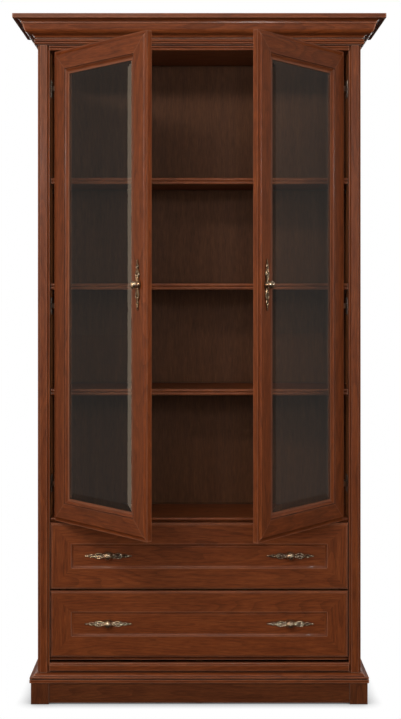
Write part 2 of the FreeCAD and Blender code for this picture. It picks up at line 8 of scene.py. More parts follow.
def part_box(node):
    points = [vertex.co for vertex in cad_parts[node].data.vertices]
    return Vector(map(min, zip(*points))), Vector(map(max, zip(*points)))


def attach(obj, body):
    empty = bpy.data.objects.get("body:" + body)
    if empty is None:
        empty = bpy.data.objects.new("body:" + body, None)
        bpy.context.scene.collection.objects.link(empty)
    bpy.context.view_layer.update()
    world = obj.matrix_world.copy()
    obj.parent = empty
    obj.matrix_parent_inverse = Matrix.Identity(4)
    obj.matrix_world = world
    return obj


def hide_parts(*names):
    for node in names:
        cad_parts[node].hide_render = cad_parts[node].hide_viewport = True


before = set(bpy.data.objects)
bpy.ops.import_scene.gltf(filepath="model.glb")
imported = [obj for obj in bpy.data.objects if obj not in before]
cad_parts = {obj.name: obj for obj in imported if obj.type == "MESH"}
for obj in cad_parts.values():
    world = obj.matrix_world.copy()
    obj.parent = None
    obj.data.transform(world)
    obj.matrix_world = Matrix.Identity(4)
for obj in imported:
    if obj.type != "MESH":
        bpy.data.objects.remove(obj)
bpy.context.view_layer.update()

# The CAD's plain materials give up their names to the finished ones.
for placeholder in bpy.data.materials:
    placeholder.name = "cad_" + placeholder.name

MM = 0.001
MERGE = 0.01 * MM                  # corners closer than this are one corner

# ---- Places shared with the CAD ----
# x is measured from the middle, y from the face of the closed fronts, z from the floor.
HALF_FRONT = 451.5 * MM            # outer edge of the doors and drawer fronts
HINGE_AXIS = Vector((-443.5 * MM, -8.0 * MM, 0.0))
REST = {"left": math.radians(49.0), "right": math.radians(52.0)}    # how far each door stands open
DOOR_FOOT = 551.0 * MM
DOOR_THICKNESS = 20.0 * MM
FRONT_HEIGHT = 200.5 * MM          # of a drawer front
FIELD_BORDER = 64.0 * MM           # of a drawer front, round its sunk field
FIELD_DEPTH = 4.5 * MM
PLATE_REACH = 71.0 * MM            # half the length of a handle's backplate
PLATE_THICKNESS = 2.4 * MM
MIDDLE_HINGE = 650.0 * MM          # above the door's foot
ARM_HALF_LENGTH = 26.0 * MM        # of a hinge arm's mounting plate
ARM_SEAT = (-452.0 * MM, 57.0 * MM)     # x and y of the mounting plates' screws, on the left
CUP_INSET = 22.0 * MM              # middle of a hinge cup, from the door's outer edge
CUP_FLANGE = 1.0 * MM
CUP_SCREWS = 21.5 * MM             # above and below a cup's middle
ARM_SCREWS = 20.0 * MM             # above and below a mounting plate's middle
CASE_BACK = 282.0 * MM

# ---- Directions ----
X, Y, Z = Vector((1, 0, 0)), Vector((0, 1, 0)), Vector((0, 0, 1))
# Axes along, across and through a board that runs in the named direction.
ALONG = {"x": (X, Z, Y), "y": (Y, Z, X), "z": (Z, X, Y)}
MIRROR = Matrix.Scale(-1, 4, (1, 0, 0))
UPRIGHT = Matrix.Rotation(math.radians(90), 4, "Y")     # stands a shape along X on end
TO_FRONT = Matrix.Rotation(math.radians(90), 4, "X")    # turns what faces up to face the viewer
TO_REAR = Matrix.Rotation(math.pi, 4, "Z")              # turns what faces the viewer to the wall


def door_turn(side):
    """Takes a point of the closed left door to where it stands, on either side."""
    turn = (Matrix.Translation(HINGE_AXIS) @ Matrix.Rotation(-REST[side], 4, "Z")
            @ Matrix.Translation(-HINGE_AXIS))
    return MIRROR @ turn if side == "right" else turn


# ---- Materials ----
def colour(code):
    """An sRGB hex value as a linear colour."""
    channels = [int(code[i:i + 2], 16) / 255 for i in (1, 3, 5)]
    return [c / 12.92 if c <= 0.04045 else ((c + 0.055) / 1.055) ** 2.4 for c in channels] + [1.0]


def add(tree, kind, settings=None, inputs=None):
    """Adds a node with its settings. An input that is a socket is linked, any other is set."""
    node = tree.nodes.new("ShaderNode" + kind)
    for name, value in (settings or {}).items():
        if name == "stops":
            while len(node.color_ramp.elements) < len(value):
                node.color_ramp.elements.new(1.0)
            for element, (place, shade) in zip(node.color_ramp.elements, value):
                element.position = place
                element.color = shade
        else:
            setattr(node, name, value)
    for key, value in (inputs or {}).items():
        if isinstance(value, bpy.types.NodeSocket):
            tree.links.new(value, node.inputs[key])
        else:
            node.inputs[key].default_value = value
    return node


def new_material(name):
    """An empty material and its node tree."""
    material = bpy.data.materials.new(name)
    material.use_nodes = True
    material.node_tree.nodes.clear()
    return material, material.node_tree


def wood(name, dark, middle, light, roughness, coat, figure=1.0, edge_highlight=0.1):
    """Veneer read along the piece's own grain, in three tones. figure is the strength of its
    pattern, coat the lacquer's weight, and edge_highlight the strength of the highlight painted
    along the arrises."""
    material, tree = new_material(name)
    grain = add(tree, "Attribute", {"attribute_name": "grain"}).outputs["Vector"]

    # The grain wanders about 10 mm sideways over a third of a metre.
    slow = add(tree, "VectorMath", {"operation": "MULTIPLY"}, {0: grain, 1: (3.0, 10.0, 10.0)})
    drift = add(tree, "TexNoise", {}, {"Vector": slow.outputs[0], "Scale": 1.0, "Detail": 2.0})
    drift = add(tree, "VectorMath", {"operation": "MULTIPLY"}, {
        0: drift.outputs["Color"], 1: (0.0, 2.6 * figure, 1.2)})

    # Growth bands: the widest 14 mm across and 200 mm long, with finer ones inside them.
    across = add(tree, "VectorMath", {"operation": "MULTIPLY_ADD"}, {
        0: grain, 1: (5.0, 70.0, 35.0), 2: drift.outputs[0]})
    bands = add(tree, "TexNoise", {}, {
        "Vector": across.outputs[0], "Scale": 1.0, "Detail": 5.0, "Roughness": 0.78})
    shade = add(tree, "ValToRGB", {"stops": [
        (0.20, colour(dark)), (0.50, colour(middle)), (0.80, colour(light))]}, {
        "Fac": bands.outputs["Fac"]})

    # Growth rings as the knife cuts them: long loops about 7 mm apart, dark on one side.
    flame = add(tree, "VectorMath", {"operation": "MULTIPLY"}, {0: grain, 1: (1.3, 12.0, 12.0)})
    flame = add(tree, "TexNoise", {}, {
        "Vector": flame.outputs[0], "Scale": 1.0, "Detail": 1.5, "Roughness": 0.45})
    flame = add(tree, "Math", {"operation": "MULTIPLY"}, {0: flame.outputs["Fac"], 1: 20.0})
    rings = add(tree, "Math", {"operation": "FRACT"}, {0: flame.outputs[0]})
    rings = add(tree, "MapRange", {}, {
        "Value": rings.outputs[0], "From Min": 0.45, "From Max": 0.95,
        "To Min": 1 + 0.04 * figure, "To Max": 1 - 0.2 * figure})
    tinted = add(tree, "VectorMath", {"operation": "SCALE"}, {
        0: shade.outputs["Color"], "Scale": rings.outputs[0]})

    # Fibres 2.4 mm wide and 30 mm long, drawn coarser than they are so that they show.
    fine = add(tree, "VectorMath", {"operation": "MULTIPLY"}, {0: grain, 1: (34.0, 420.0, 420.0)})
    fibres = add(tree, "TexNoise", {}, {
        "Vector": fine.outputs[0], "Scale": 1.0, "Detail": 3.0}).outputs["Fac"]
    streaks = add(tree, "MapRange", {}, {
        "Value": fibres, "From Min": 0.3, "From Max": 0.7, "To Min": 0.76, "To Max": 1.22})
    tinted = add(tree, "VectorMath", {"operation": "SCALE"}, {
        0: tinted.outputs[0], "Scale": streaks.outputs[0]})

    # Open pores, dark dashes 0.7 mm wide and 9 mm long, also coarser than real ones.
    dashes = add(tree, "VectorMath", {"operation": "MULTIPLY"}, {
        0: grain, 1: (110.0, 1500.0, 1500.0)})
    pores = add(tree, "TexNoise", {}, {"Vector": dashes.outputs[0], "Scale": 1.0, "Detail": 1.0})
    pores = add(tree, "MapRange", {}, {
        "Value": pores.outputs["Fac"], "From Min": 0.66, "From Max": 0.74,
        "To Min": 1.0, "To Max": 0.62})
    tinted = add(tree, "VectorMath", {"operation": "SCALE"}, {
        0: tinted.outputs[0], "Scale": pores.outputs[0]})

    # Painted shade: darker in quirks, joints and other hollows up to 6 mm wide, where shade falls.
    hollow = add(tree, "AmbientOcclusion", {"samples": 6}, {"Distance": 6 * MM})
    hollow = add(tree, "MapRange", {}, {
        "Value": hollow.outputs["AO"], "From Min": 0.4, "From Max": 0.88,
        "To Min": 0.16, "To Max": 1.0})
    tinted = add(tree, "VectorMath", {"operation": "SCALE"}, {
        0: tinted.outputs[0], "Scale": hollow.outputs[0]})

    # Painted highlight: a pale tone added along the arrises, over 3 mm.
    arris = add(tree, "AmbientOcclusion", {"samples": 6, "inside": True, "only_local": True}, {
        "Distance": 3 * MM})
    arris = add(tree, "MapRange", {}, {
        "Value": arris.outputs["AO"], "From Min": 0.5, "From Max": 0.92,
        "To Min": 1.0, "To Max": 0.0})
    painted_highlight = add(tree, "VectorMath", {"operation": "SCALE"}, {
        0: (edge_highlight, 0.62 * edge_highlight, 0.45 * edge_highlight), "Scale": arris.outputs[0]})
    tinted = add(tree, "VectorMath", {"operation": "ADD"}, {
        0: tinted.outputs[0], 1: painted_highlight.outputs[0]})

    # The lacquer sinks a little into pores and fibres.
    gloss = add(tree, "MapRange", {}, {
        "Value": fibres, "From Min": 0.25, "From Max": 0.75,
        "To Min": roughness + 0.06, "To Max": roughness - 0.05})
    relief = add(tree, "Math", {"operation": "MULTIPLY"}, {0: fibres, 1: pores.outputs[0]})
    bump = add(tree, "Bump", {}, {
        "Strength": 0.25, "Distance": 0.25 * MM, "Height": relief.outputs[0]})
    shader = add(tree, "BsdfPrincipled", {}, {
        "Base Color": tinted.outputs[0], "Roughness": gloss.outputs[0], "IOR": 1.5,
        "Specular IOR Level": 0.3, "Coat Weight": coat, "Coat Roughness": 0.15, "Coat IOR": 1.5,
        "Normal": bump.outputs[0]})
    add(tree, "OutputMaterial", {}, {"Surface": shader.outputs[0]})
    return material


def metal(name, clean, tarnish, roughness, crevice):
    """Metal that is darker in hollows up to 4 mm wide, its polish clouded in patches of 5 mm."""
    material, tree = new_material(name)
    place = add(tree, "TexCoord").outputs["Object"]
    cloud = add(tree, "TexNoise", {}, {
        "Vector": place, "Scale": 220.0, "Detail": 4.0}).outputs["Fac"]
    hollow = add(tree, "AmbientOcclusion", {"samples": 8}, {"Distance": 4 * MM})
    wear = add(tree, "Math", {"operation": "MULTIPLY_ADD"}, {0: cloud, 1: 0.5, 2: -0.25})
    wear = add(tree, "Math", {"operation": "ADD"}, {0: hollow.outputs["AO"], 1: wear.outputs[0]})
    shade = add(tree, "ValToRGB", {"stops": [
        (crevice, colour(tarnish)), (min(crevice + 0.45, 1.0), colour(clean))]}, {
        "Fac": wear.outputs[0]})
    polish = add(tree, "MapRange", {}, {
        "Value": cloud, "To Min": roughness - 0.06, "To Max": roughness + 0.1})
    shader = add(tree, "BsdfPrincipled", {}, {
        "Base Color": shade.outputs["Color"], "Metallic": 1.0, "Roughness": polish.outputs[0]})
    add(tree, "OutputMaterial", {}, {"Surface": shader.outputs[0]})
    return material


def pressed_board(name, base, fleck, size):
    """Raw board, matt, with chips of the given size in a slightly different tone."""
    material, tree = new_material(name)
    place = add(tree, "TexCoord").outputs["Object"]
    chips = add(tree, "TexVoronoi", {}, {"Vector": place, "Scale": 1 / size})
    fibre = add(tree, "TexNoise", {}, {
        "Vector": place, "Scale": 2.5 / size, "Detail": 4.0}).outputs["Fac"]
    tone = add(tree, "Math", {"operation": "MULTIPLY"}, {0: chips.outputs["Distance"], 1: fibre})
    shade = add(tree, "ValToRGB", {"stops": [(0.1, colour(fleck)), (0.4, colour(base))]}, {
        "Fac": tone.outputs[0]})
    bump = add(tree, "Bump", {}, {"Strength": 0.3, "Distance": 0.2 * MM, "Height": fibre})
    shader = add(tree, "BsdfPrincipled", {}, {
        "Base Color": shade.outputs["Color"], "Roughness": 0.82, "Normal": bump.outputs[0]})
    add(tree, "OutputMaterial", {}, {"Surface": shader.outputs[0]})
    return material


def bevelled_glass():
    """Clear float glass with polished facets, wavy by a hair over 200 mm."""
    material, tree = new_material("bevelled_glass")
    place = add(tree, "TexCoord").outputs["Object"]
    waves = add(tree, "TexNoise", {}, {"Vector": place, "Scale": 5.0, "Detail": 1.0})
    bump = add(tree, "Bump", {}, {
        "Strength": 0.1, "Distance": 0.4 * MM, "Height": waves.outputs["Fac"]})
    shader = add(tree, "BsdfPrincipled", {}, {
        "Base Color": colour("#eef3ef"), "Roughness": 0.0, "IOR": 1.52,
        "Transmission Weight": 1.0, "Normal": bump.outputs[0]})
    add(tree, "OutputMaterial", {}, {"Surface": shader.outputs[0]})
    return material


# Cherry-stained foil under satin lacquer: red brown, with a highlight painted along rounded edges.
cherry_foil = wood("cherry_foil", "#5e2b12", "#793c1b", "#8d4c26", 0.46, 0.22, 1.0, 0.2)
# The same foil on the door frames, with a fainter painted edge highlight, so that their mitres
# stay quiet.
door_cherry = wood("door_cherry", "#5e2a11", "#7a3b19", "#904c24", 0.46, 0.22, 1.0, 0.07)
# The inside of the case: the same foil painted darker, as painted shade for the inside of the
# case; matt, with little figure.
interior_cherry = wood("interior_cherry", "#452512", "#522f17", "#5e391d", 0.6, 0.0, 0.35)
# The shelves' foil, with a strong highlight painted along its edges, which draws a thin light line
# on each reed.
shelf_cherry = wood("shelf_cherry", "#5e2b12", "#793c1b", "#8d4c26", 0.46, 0.22, 1.0, 0.5)
# The packing strips behind the posts, seen in the gap beside an open door: the foil painted
# lighter, as painted light that reaches into the gap.
packing_painted_light_cherry = wood("packing_painted_light_cherry", "#8a4f2c", "#a5643a", "#bb7a4c", 0.5, 0.0)
# The plinth: the same cherry a shade darker than the rest, so the case is darker at its foot.
plinth_cherry = wood("plinth_cherry", "#4c2410", "#623218", "#734020", 0.5, 0.16)
# Drawer sides and bottoms: beech-grained foil, pale and plain.
drawer_board = wood("drawer_board", "#b48f66", "#c6a47b", "#d3b48c", 0.5, 0.0, 0.4)
# Rear of the back panel: raw hardboard, matt brown with fine flecks.
hardboard = pressed_board("hardboard", "#7d5f45", "#5e4431", 3 * MM)
# Edges and rears without foil: raw chipboard, paler and coarser.
chipboard = pressed_board("chipboard", "#b09371", "#87694a", 5 * MM)
# Cast brass, antique finish: bright on its crests and nearly black in its hollows.
antique_brass = metal("antique_brass", "#ecd2b4", "#33210f", 0.24, 0.25)
# The same brass on the sunk ground between the scrolls, where the dark wax stays.
waxed_brass = metal("waxed_brass", "#7c5c42", "#22150c", 0.4, 0.4)
# Pressed steel, nickel plated: bright and slightly warm.
nickelled_steel = metal("nickelled_steel", "#cfccc4", "#6e6a63", 0.3, 0.2)
# Rolled steel, zinc plated: duller and bluer.
zinc_plated_steel = metal("zinc_plated_steel", "#b9bec2", "#767c80", 0.38, 0.2)
# Panes: clear, with bright facets round their edge.
glass = bevelled_glass()


# ---- Making a piece ----
def copy_of(node):
    """A merged copy of a CAD node, its flat faces whole again."""
    bm = bmesh.new()
    bm.from_mesh(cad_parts[node].data)
    bmesh.ops.remove_doubles(bm, verts=bm.verts, dist=MERGE)
    bmesh.ops.dissolve_limit(bm, angle_limit=math.radians(0.5), verts=bm.verts, edges=bm.edges)
    return bm


def ease(bm, width):
    """Eases every edge of 28 degrees and more, and leaves the facets of round parts."""
    least = math.radians(28.0)
    sharp = [edge for edge in bm.edges if edge.is_manifold and edge.calc_face_angle() > least]
    bmesh.ops.bevel(
        bm, geom=sharp, offset=width, offset_type="OFFSET", segments=2, profile=0.5,
        affect="EDGES", material=-1, clamp_overlap=True)


def lay_grain(bm, direction, start):
    """Stores each corner's place along, across and through the grain, whose three axes
    direction(face) gives. start is where on the veneer the piece was cut."""
    layer = bm.loops.layers.float_vector.new("grain")
    shift = Vector((1.7 * start, 0.61 * start, 0.37 * start))
    for face in bm.faces:
        along, over, through = direction(face)
        for loop in face.loops:
            co = loop.vert.co
            loop[layer] = Vector((co.dot(along), co.dot(over), co.dot(through))) + shift


def finish_piece(name, bm, materials, body, slot, *nodes):
    """Makes the finished object, smooth between eased edges, on its body in its nodes' place."""
    mesh = bpy.data.meshes.new(name)
    bm.to_mesh(mesh)
    bm.free()
    for material in materials:
        mesh.materials.append(material)
    mesh.shade_smooth()
    mesh.set_sharp_from_angle(angle=math.radians(40))
    piece = bpy.data.objects.new(name, mesh)
    bpy.context.scene.collection.objects.link(piece)
    weighted = piece.modifiers.new("weighted_normals", "WEIGHTED_NORMAL")
    weighted.keep_sharp = True
    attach(piece, body)
    if nodes:
        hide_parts(*nodes)


def dress(node, finish, body, slot, direction, start, width=0.5 * MM):
    """Puts an eased copy in a wooden node's place."""
    bm = copy_of(node)
    ease(bm, width)
    lay_grain(bm, direction, start)
    finish_piece(node + "_dressed", bm, [finish], body, slot, node)


# ---- Case, doors and drawers ----
def dress_boards():
    """Boards and mouldings of the case, each with its grain along its length."""
    foiled = {
        "x": ("crown_board", "top_board", "floor_board", "bottom_board", "bottom_rail",
              "cornice_front", "base_frame_front", "plinth_front"),
        "y": ("cornice_left", "cornice_right", "base_frame_left", "base_frame_right",
              "plinth_left", "plinth_right"),
        "z": ("side_panel_left", "side_panel_right", "post_left", "post_right",
              "plinth_block_left", "plinth_block_right"),
    }
    count = 0           # gives each piece its own stretch of veneer
    for run, nodes in foiled.items():
        for node in nodes:
            count += 1
            bm = copy_of(node)
            # Faces towards the wall are bare board.
            for face in bm.faces:
                face.material_index = 1 if face.normal.y > 0.9 and node != "plinth_front" else 0
            ease(bm, 0.5 * MM)
            lay_grain(bm, lambda face: ALONG[run], count)
            foil = plinth_cherry if node.startswith("plinth") else cherry_foil
            finish_piece(node + "_dressed", bm, [foil, chipboard], "case", "cherry_foil", node)

    inside = {"packers": "z", "shelf_lower": "x", "shelf_middle": "x", "shelf_upper": "x"}
    for node, run in inside.items():
        count += 1
        foil = packing_painted_light_cherry if node == "packers" else shelf_cherry
        dress(node, foil, "case", "cherry_foil", lambda face: ALONG[run], count)
    # The plinth's rear and brace, seen through the gap under the rail, take the darker interior
    # foil as painted shade.
    for node in ("plinth_rear", "plinth_cross_brace"):
        dress(node, interior_cherry, "case", "interior_cherry", lambda face: ALONG["x"], count)


def dress_back():
    """The back panel: on the side that faces the books the interior foil, painted darker as shade;
    raw hardboard behind.
    """
    bm = copy_of("back_panel")
    for face in bm.faces:
        face.material_index = 0 if face.normal.y < -0.9 else 1
    lay_grain(bm, lambda face: ALONG["z"], 31)
    finish_piece(
        "back_panel_dressed", bm, [interior_cherry, hardboard], "case", "hardboard", "back_panel")


def dress_doors():
    """Door frames with their grain along each member, their glazing beads and their panes."""
    for number, side in enumerate(("left", "right")):
        body = side + "_door"
        turn = door_turn(side).to_3x3()
        wide, deep = turn @ X, turn @ Y
        upright, level = (Z, wide, deep), (wide, Z, deep)
        for count, (member, axes) in enumerate((
                ("stile_hinge", upright), ("stile_free", upright),
                ("rail_top", level), ("rail_bottom", level))):
            dress(body + "_" + member, door_cherry, body, "cherry_foil", lambda face: axes,
                  40 + 7 * number + count, 0.4 * MM)
        dress(body + "_glazing_beads", cherry_foil, body, "cherry_foil", lambda face: upright,
              60 + number, 0.8 * MM)
        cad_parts[body + "_glass"].data.materials.clear()
        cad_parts[body + "_glass"].data.materials.append(glass)


def dress_drawers():
    """Drawer fronts veneered with mitred borders round the sunk field, and their boxes."""
    for number, name in enumerate(("lower_drawer", "upper_drawer")):
        low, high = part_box(name + "_front")
        bm = copy_of(name + "_front")
        # A mitre from each corner, where the veneer changes direction.
        for x in (-HALF_FRONT, HALF_FRONT):
            for z in (low.z, low.z + FRONT_HEIGHT):
                inwards = Vector((-math.copysign(1, x), 0, 1 if z == low.z else -1))
                bmesh.ops.bisect_plane(
                    bm, geom=bm.verts[:] + bm.edges[:] + bm.faces[:], plane_co=(x, 0, z),
                    plane_no=inwards.cross(Y), dist=MERGE)

        def veneer(face):
            """Upright on the end borders and the field's end slopes, lengthwise elsewhere."""
            centre = face.calc_center_median()
            from_end = HALF_FRONT - abs(centre.x)
            from_edge = min(centre.z - low.z, low.z + FRONT_HEIGHT - centre.z)
            border = from_end < FIELD_BORDER + 8 * MM and centre.y < FIELD_DEPTH - 0.1 * MM
            return ALONG["z"] if from_end < from_edge and border else ALONG["x"]

        # A fine quirk in the field's slopes.
        slopes = [face for face in bm.faces if -0.97 < face.normal.y < -0.5]
        bmesh.ops.inset_region(
            bm, faces=slopes, thickness=0.9 * MM, depth=-1.0 * MM, use_even_offset=True)
        ease(bm, 0.3 * MM)
        lay_grain(bm, veneer, 70 + number)
        finish_piece(
            name + "_front_dressed", bm, [cherry_foil], name, "cherry_foil", name + "_front")

        def lengthwise(face):
            """From front to rear on the drawer's sides, from side to side elsewhere."""
            return ALONG["y"] if abs(face.normal.x) > 0.5 else ALONG["x"]

        for part, width in (("box", 0.8 * MM), ("bottom", 0.2 * MM)):
            dress(name + "_" + part, drawer_board, name, "drawer_board", lengthwise,
                  75 + number, width)


def dress_fittings():
    """Hinges, runners and shelf supports, with eased edges that catch the light."""
    fittings = {
        "left_door_hinge_cups": ("left_door", nickelled_steel),
        "right_door_hinge_cups": ("right_door", nickelled_steel),
        "hinge_arms": ("case", nickelled_steel),
        "shelf_supports": ("case", nickelled_steel),
        "runner_rails": ("case", zinc_plated_steel),
        "lower_drawer_runners": ("lower_drawer", zinc_plated_steel),
        "upper_drawer_runners": ("upper_drawer", zinc_plated_steel),
    }
    for node, (body, steel) in fittings.items():
        bm = copy_of(node)
        ease(bm, 0.2 * MM)
        finish_piece(node + "_dressed", bm, [steel], body, steel.name, node)


# ---- Handles, drawn in millimetres ----
def add_curve(bm, curve):
    """Adds a curve's mesh, with its bevel, to a bmesh."""
    drawn = bpy.data.objects.new(curve.name, curve)
    bpy.context.scene.collection.objects.link(drawn)
    evaluated = drawn.evaluated_get(bpy.context.evaluated_depsgraph_get())
    mesh = bpy.data.meshes.new_from_object(evaluated)
    bm.from_mesh(mesh)
    bpy.data.meshes.remove(mesh)
    bpy.data.objects.remove(drawn)


def pierced_plate():
    """The ground of a backplate along X, its back at y 0, facing -Y."""
    # A quarter of the outline, from the tip to the middle, and the openings: a leaf in each
    # quarter and an eye near each tip.
    outline = [
        (71.0, 0.0), (66.0, 1.5), (61.0, 1.7), (57.0, 3.9), (51.5, 5.2), (47.0, 3.4), (42.5, 4.6),
        (37.5, 7.6), (30.5, 8.9), (24.0, 7.6), (18.5, 3.8), (14.0, 5.8), (9.5, 9.6), (0.0, 11.8),
    ]
    leaf = ((20.5, 1.9), (25.0, 4.9), (30.5, 5.9), (36.0, 4.4), (39.0, 1.9), (30.0, 1.2))
    eye = ((46.5, 0.0), (51.5, 2.3), (57.0, 0.0), (51.5, -2.3))
    outline += [(-a, b) for a, b in reversed(outline[1:-1])]
    outline += [(-a, -b) for a, b in outline]
    loops = [outline]
    for way in (-1, 1):
        for side in (-1, 1):
            loops.append([(way * a, side * b) for a, b in leaf])
        loops.append([(way * a, b) for a, b in eye])

    curve = bpy.data.curves.new("backplate_outline", "CURVE")
    curve.dimensions = "2D"
    curve.fill_mode = "BOTH"
    curve.extrude = 0.5 * MM
    curve.bevel_depth = 0.7 * MM
    curve.bevel_resolution = 3
    curve.resolution_u = 8
    for points in loops:
        spline = curve.splines.new("BEZIER")
        spline.use_cyclic_u = True
        spline.bezier_points.add(len(points) - 1)
        for knot, (a, b) in zip(spline.bezier_points, points):
            knot.co = (a * MM, b * MM, 0)
            knot.handle_left_type = knot.handle_right_type = "AUTO"
    bm = bmesh.new()
    add_curve(bm, curve)
    bmesh.ops.remove_doubles(bm, verts=bm.verts, dist=MERGE)
    bmesh.ops.transform(bm, matrix=TO_FRONT, verts=bm.verts)
    bmesh.ops.translate(bm, vec=(0, -PLATE_THICKNESS / 2, 0), verts=bm.verts)
    return bm


def scroll(bm, points, radius):
    """A raised rib that follows the points on the plate's face and thins out at its ends."""
    curve = bpy.data.curves.new("scroll", "CURVE")
    curve.dimensions = "3D"
    curve.bevel_depth = radius * MM
    curve.bevel_resolution = 2
    curve.use_fill_caps = True
    curve.resolution_u = 4
    spline = curve.splines.new("NURBS")
    last = len(points) - 1
    spline.points.add(last)
    for i, (knot, (a, b)) in enumerate(zip(spline.points, points)):
        knot.co = (a * MM, 0.1 * MM - PLATE_THICKNESS, b * MM, 1)
        knot.radius = 0.45 + 0.55 * math.sin(math.pi * (i + 0.6) / (last + 1.2))
    spline.order_u = 3
    spline.use_endpoint_u = True
    add_curve(bm, curve)


def backplate():
    """The pierced plate, its ground waxed dark, with raised scrolls over it."""
    bm = pierced_plate()
    for face in bm.faces:
        face.material_index = 1
    volute = ((8.0, 3.0), (14.0, 3.6), (20.0, 5.6), (29.0, 7.4), (37.0, 6.0), (40.5, 2.9),
              (36.5, 1.0), (32.5, 2.6), (34.5, 4.0))
    tendril = ((40.0, 0.8), (45.0, 2.6), (51.0, 3.8), (56.5, 2.4), (58.5, 1.0))
    vein = ((11.0, 1.2), (17.0, 1.8), (24.0, 0.9), (33.0, 0.6))
    tip = ((57.0, 0.0), (62.0, 0.0), (67.0, 0.0), (69.5, 0.0))
    for way in (-1, 1):
        for side in (-1, 1):
            for points, radius in ((volute, 1.25), (tendril, 1.0), (vein, 0.9)):
                scroll(bm, [(way * a, side * b) for a, b in points], radius)
        scroll(bm, [(way * a, b) for a, b in tip], 1.3)
    return bm


def knob():
    """A turned knob along -Y on a cast foot: neck, beaded rim and a domed crown."""
    # Radius and distance from the foot, from the foot's middle to the crown's.
    profile = [
        (0.0, 0.0), (8.0, 0.0), (8.3, 0.9), (7.2, 1.9), (5.2, 2.7), (4.4, 4.2), (4.2, 5.8),
        (5.0, 7.2), (7.8, 8.6), (10.6, 10.2), (11.8, 12.0), (12.0, 13.6), (11.6, 15.2),
        (10.7, 16.1), (10.2, 16.2), (10.0, 16.8), (9.0, 18.6), (7.0, 20.1), (4.8, 20.9),
        (3.2, 21.0), (2.9, 21.6), (1.7, 22.3), (0.0, 22.5),
    ]
    bm = bmesh.new()
    verts = [bm.verts.new((r * MM, -h * MM, 0)) for r, h in profile]
    edges = [bm.edges.new(pair) for pair in zip(verts, verts[1:])]
    bmesh.ops.spin(
        bm, geom=verts + edges, cent=(0, 0, 0), axis=(0, 1, 0), angle=math.tau, steps=32,
        use_merge=True)
    bmesh.ops.remove_doubles(bm, verts=bm.verts, dist=MERGE)
    bmesh.ops.recalc_face_normals(bm, faces=bm.faces)
    return bm


def joined(bm, places):
    """Copies of a bmesh at each place, in one bmesh. The pattern itself is used up."""
    mesh = bpy.data.meshes.new("pattern")
    bm.to_mesh(mesh)
    bm.free()
    group = bmesh.new()
    for place in places:
        copy = mesh.copy()
        copy.transform(place)
        if place.determinant() < 0:
            copy.flip_normals()
        group.from_mesh(copy)
        bpy.data.meshes.remove(copy)
    bpy.data.meshes.remove(mesh)
    return group


def fit_handle(body, plate_node, knob_node, places):
    """A backplate at each place, and a knob that sinks 0.4 mm into it."""
    finish_piece(
        body + "_backplate", joined(backplate(), places), [antique_brass, waxed_brass], body,
        "antique_brass", body + "_" + plate_node)
    sunk = Matrix.Translation((0, 0.4 * MM - PLATE_THICKNESS, 0))
    finish_piece(
        body + "_knob", joined(knob(), [place @ sunk for place in places]), [antique_brass], body,
        "antique_brass", body + "_" + knob_node)


def fit_handles():
    """Backplates and knobs on the doors, upright, and on the drawers, lying."""
    for side in ("left", "right"):
        low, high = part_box(side + "_door_handle_plate")
        turn = door_turn(side).to_3x3().to_4x4()
        face = (low + high) / 2 - turn @ Vector((0, -PLATE_THICKNESS / 2, 0))
        places = [Matrix.Translation(face) @ turn @ UPRIGHT]
        fit_handle(side + "_door", "handle_plate", "handle_knob", places)
    for name in ("lower_drawer", "upper_drawer"):
        low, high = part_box(name + "_handle_plates")
        middle = Vector((high.x - PLATE_REACH, FIELD_DEPTH, (low.z + high.z) / 2))
        places = [Matrix.Translation((way * middle.x, middle.y, middle.z)) for way in (-1, 1)]
        fit_handle(name, "handle_plates", "handle_knobs", places)


# ---- Screws and nails ----
def cross_head(radius, height):
    """A pan-head screw seen from -Y: a domed head with a thin cross in place of its recess."""
    bm = bmesh.new()
    bmesh.ops.create_cone(
        bm, cap_ends=True, segments=24, radius1=radius, radius2=radius * 0.55, depth=height,
        matrix=Matrix.Translation((0, -height / 2, 0)) @ TO_FRONT)
    crown = min(bm.faces, key=lambda face: face.calc_center_median().y)
    bmesh.ops.inset_individual(bm, faces=[crown], thickness=radius * 0.15)
    for way in (X, Z):
        arm = bmesh.ops.create_cube(bm, size=1.0)["verts"]
        size = Vector((radius * 0.16, radius * 0.05, radius * 0.16)) + way * radius * 0.55
        bmesh.ops.scale(bm, vec=size, verts=arm)
        bmesh.ops.translate(bm, vec=(0, -height, 0), verts=arm)
    return bm


def fit_screws():
    """Screws of the hinge cups and arms, and of the handles behind the door frames."""
    low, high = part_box("hinge_arms")
    heights = (low.z + ARM_HALF_LENGTH, DOOR_FOOT + MIDDLE_HINGE, high.z - ARM_HALF_LENGTH)
    for side in ("left", "right"):
        turn = door_turn(side)
        cup_x, cup_y = CUP_INSET - HALF_FRONT, DOOR_THICKNESS + CUP_FLANGE
        cups = [turn @ Matrix.Translation((cup_x, cup_y, z + step)) @ TO_REAR
                for z in heights for step in (-CUP_SCREWS, CUP_SCREWS)]
        finish_piece(
            side + "_door_cup_screws", joined(cross_head(3.4 * MM, 1.3 * MM), cups),
            [nickelled_steel], side + "_door", "nickelled_steel")
        plate_low, plate_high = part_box(side + "_door_handle_plate")
        closed = turn.inverted() @ ((plate_low + plate_high) / 2)
        back = [turn @ Matrix.Translation((closed.x, DOOR_THICKNESS, closed.z)) @ TO_REAR]
        finish_piece(
            side + "_door_handle_screw", joined(cross_head(4.2 * MM, 1.8 * MM), back),
            [zinc_plated_steel], side + "_door", "zinc_plated_steel")

    arms = []
    to_middle = Matrix.Rotation(math.radians(90), 4, "Z")
    for z in heights:
        for step in (-ARM_SCREWS, ARM_SCREWS):
            seat = Matrix.Translation((*ARM_SEAT, z + step)) @ to_middle
            arms += [seat, MIRROR @ seat]
    finish_piece(
        "hinge_arm_screws", joined(cross_head(3.8 * MM, 1.6 * MM), arms), [nickelled_steel],
        "case", "nickelled_steel")


